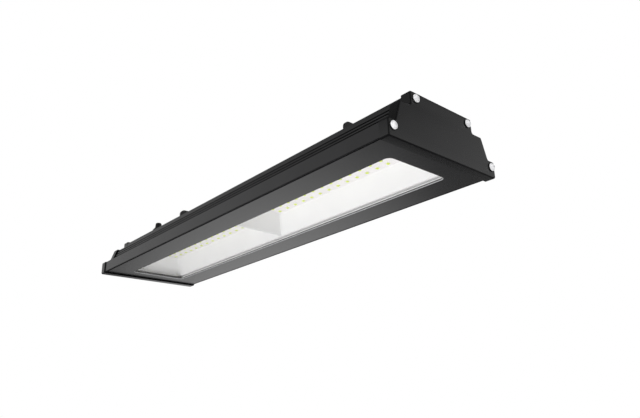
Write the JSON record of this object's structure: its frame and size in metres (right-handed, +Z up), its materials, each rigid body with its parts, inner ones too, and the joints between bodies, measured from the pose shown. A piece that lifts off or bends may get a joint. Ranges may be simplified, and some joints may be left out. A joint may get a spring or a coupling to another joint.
{
  "type": "high bay light",
  "caption": "Slim linear high bay light with a ribbed extruded body, cast end caps, a glazed window over white reflector trays of light-emitting diodes, two hanging eyes and a cable gland.",
  "frame": {"origin": "under the middle of the lamp, in the plane of the end caps' lower edges", "axes": "+X along the lamp away from the cable gland, +Z up towards the hanging eyes"},
  "size_m": [0.607, 0.1546, 0.085],
  "materials": {
    "housing_paint": "satin black powder coat",
    "frame_paint": "satin black powder coat",
    "cap_paint": "satin black powder coat",
    "hanger_paint": "satin black powder coat",
    "stainless_steel": "turned",
    "plated_steel": "zinc plated",
    "window_glass": "clear",
    "window_silicone": "matt white silicone",
    "tape": "adhesive foam",
    "reflector_white": "satin white coat",
    "board_white": "white solder mask",
    "thermal_pad": "soft gap pad",
    "diode_yellow": "phosphor under clear silicone",
    "driver_case": "drawn",
    "terminal_plastic": "moulded",
    "gland_plastic": "moulded nylon",
    "gland_rubber": "matt",
    "gasket_rubber": "matt",
    "washer_rubber": "matt"
  },
  "bodies": {
    "root": {"housing": "housing_paint", "front_frame": "frame_paint", "frame_tape_left": "tape", "frame_tape_right": "tape", "window_glass": "window_glass", "window_seal": "window_silicone", "board_screws": "plated_steel", "reflector_screws": "plated_steel", "driver_right": "driver_case", "driver_left": "driver_case", "driver_screws": "plated_steel", "terminal_block": "terminal_plastic", "gland_body": "gland_plastic", "gland_seal": "gland_rubber", "gland_nut": "gland_plastic", "gland_washer": "gland_rubber", "reflector_near": "reflector_white", "reflector_far": "reflector_white", "led_board_near": "board_white", "led_board_far": "board_white", "thermal_pad_near": "thermal_pad", "thermal_pad_far": "thermal_pad", "leds_near": "diode_yellow", "leds_far": "diode_yellow", "end_cap_near": "cap_paint", "end_cap_far": "cap_paint", "end_gasket_near": "gasket_rubber", "end_gasket_far": "gasket_rubber", "cap_screws_near": "stainless_steel", "cap_screws_far": "stainless_steel", "cap_washers_near": "washer_rubber", "cap_washers_far": "washer_rubber", "hanger_near": "hanger_paint", "hanger_far": "hanger_paint", "hanger_bolt_near": "stainless_steel", "hanger_bolt_far": "stainless_steel", "hanger_washer_near": "stainless_steel", "hanger_washer_far": "stainless_steel", "hanger_nut_near": "plated_steel", "hanger_nut_far": "plated_steel"}
  },
  "joints": []
}
